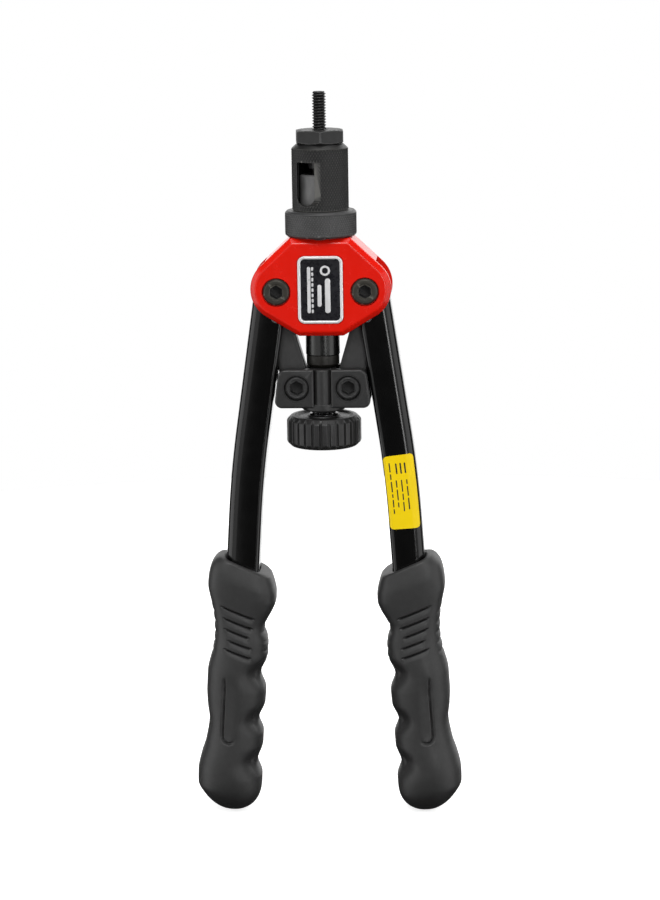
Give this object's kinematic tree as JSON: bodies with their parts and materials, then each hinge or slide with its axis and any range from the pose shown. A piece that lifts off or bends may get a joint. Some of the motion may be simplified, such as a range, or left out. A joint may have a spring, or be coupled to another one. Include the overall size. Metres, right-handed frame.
{
  "type": "hand riveter",
  "caption": "Two-handled lever riveter for threaded inserts: toggle links pull a threaded mandrel through a knurled nose with an adjustable anvil; fluted knob spins the mandrel in and out.",
  "frame": {"origin": "centre of the anvil nut's front face, on the mandrel's axis, where an insert's flange rests", "axes": "+Z along the mandrel, out of the nose; +X towards the handle that carries the sticker; -Y is the front, with the badge and screw heads"},
  "size_m": [0.1242, 0.034, 0.3365],
  "materials": {
    "red_paint": "semi-gloss",
    "badge_black": "gloss",
    "badge_silver": "satin",
    "screw_black": "black oxide",
    "sleeve_oxide": "knurled black oxide",
    "nut_oxide": "black oxide",
    "ring_oxide": "fine knurl, phosphate",
    "cast_black": "fine textured black",
    "tube_oxide": "satin oxide",
    "race_steel": "ground",
    "ball_steel": "polished",
    "spindle_steel": "turned",
    "knob_black": "black oxide",
    "mandrel_black": "black oxide thread",
    "collar_steel": "satin",
    "spring_steel": "drawn wire",
    "gloss_black": "gloss",
    "grip_rubber": "fine matt",
    "bush_bronze": "sintered",
    "pin_steel": "ground",
    "sticker_yellow": "gloss film",
    "link_black": "phosphate"
  },
  "bodies": {
    "body": {"housing": "red_paint", "badge_plate": "badge_black", "badge_frame": "badge_silver", "pivot_screws": "screw_black", "pivot_nuts": "screw_black"},
    "nose": {"nose_sleeve": "sleeve_oxide", "anvil_nut": "nut_oxide"},
    "ring": {"lock_ring": "ring_oxide"},
    "yoke": {"yoke": "cast_black", "draw_tube": "tube_oxide", "yoke_screws": "screw_black", "yoke_nuts": "screw_black", "bearing_upper_race": "race_steel", "bearing_balls": "ball_steel"},
    "spindle": {"bearing_lower_race": "race_steel", "spindle": "spindle_steel", "knob": "knob_black", "knob_screw": "screw_black", "mandrel": "mandrel_black"},
    "collar": {"drive_collar": "collar_steel", "collar_spring": "spring_steel"},
    "left_handle": {"left_handle_tube": "gloss_black", "left_grip": "grip_rubber", "left_pivot_bush": "bush_bronze", "left_link_pin": "pin_steel"},
    "right_handle": {"right_handle_tube": "gloss_black", "right_grip": "grip_rubber", "right_pivot_bush": "bush_bronze", "right_link_pin": "pin_steel", "handle_sticker": "sticker_yellow"},
    "left_link": {"left_link": "link_black", "left_link_bush": "bush_bronze"},
    "right_link": {"right_link": "link_black", "right_link_bush": "bush_bronze"}
  },
  "joints": [
    {"name": "left_handle_pivot", "type": "hinge", "parent": "body", "child": "left_handle", "pos_m": [-0.02, 0, -0.0721], "axis": [0, 1, 0], "range_deg": [0, 50]},
    {"name": "right_handle_pivot", "type": "hinge", "parent": "body", "child": "right_handle", "pos_m": [0.02, 0, -0.0721], "axis": [0, -1, 0], "range_deg": [0, 50.1]},
    {"name": "yoke_slide", "type": "slide", "parent": "body", "child": "yoke", "axis": [0, 0, 1], "range_m": [0, 0.0077]},
    {"name": "left_link_pivot", "type": "hinge", "parent": "yoke", "child": "left_link", "pos_m": [-0.01175, 0, -0.1166], "axis": [0, -1, 0], "range_deg": [0, 17.1]},
    {"name": "right_link_pivot", "type": "hinge", "parent": "yoke", "child": "right_link", "pos_m": [0.01175, 0, -0.1166], "axis": [0, 1, 0], "range_deg": [0, 17.1]},
    {"name": "spindle_turn", "type": "hinge", "parent": "yoke", "child": "spindle", "pos_m": [0, 0, -0.137], "axis": [0, 0, 1], "continuous": true},
    {"name": "collar_slide", "type": "slide", "parent": "spindle", "child": "collar", "axis": [0, 0, -1], "range_m": [0, 0.003], "stiffness_N_per_m": 600, "springref_m": -0.002, "deforming": ["collar_spring"]},
    {"name": "nose_adjust", "type": "slide", "parent": "body", "child": "nose", "axis": [0, 0, 1], "range_m": [0, 0.005]},
    {"name": "ring_turn", "type": "hinge", "parent": "nose", "child": "ring", "pos_m": [0, 0, -0.042], "axis": [0, 0, 1], "continuous": true}
  ],
  "couplings": [
    {"joint": "right_handle_pivot", "follows": "left_handle_pivot", "ratio": 1},
    {"joint": "yoke_slide", "follows": "left_handle_pivot", "m_per_rad": 0.008766},
    {"joint": "left_link_pivot", "follows": "left_handle_pivot", "ratio": 0.34},
    {"joint": "right_link_pivot", "follows": "left_handle_pivot", "ratio": 0.34}
  ]
}
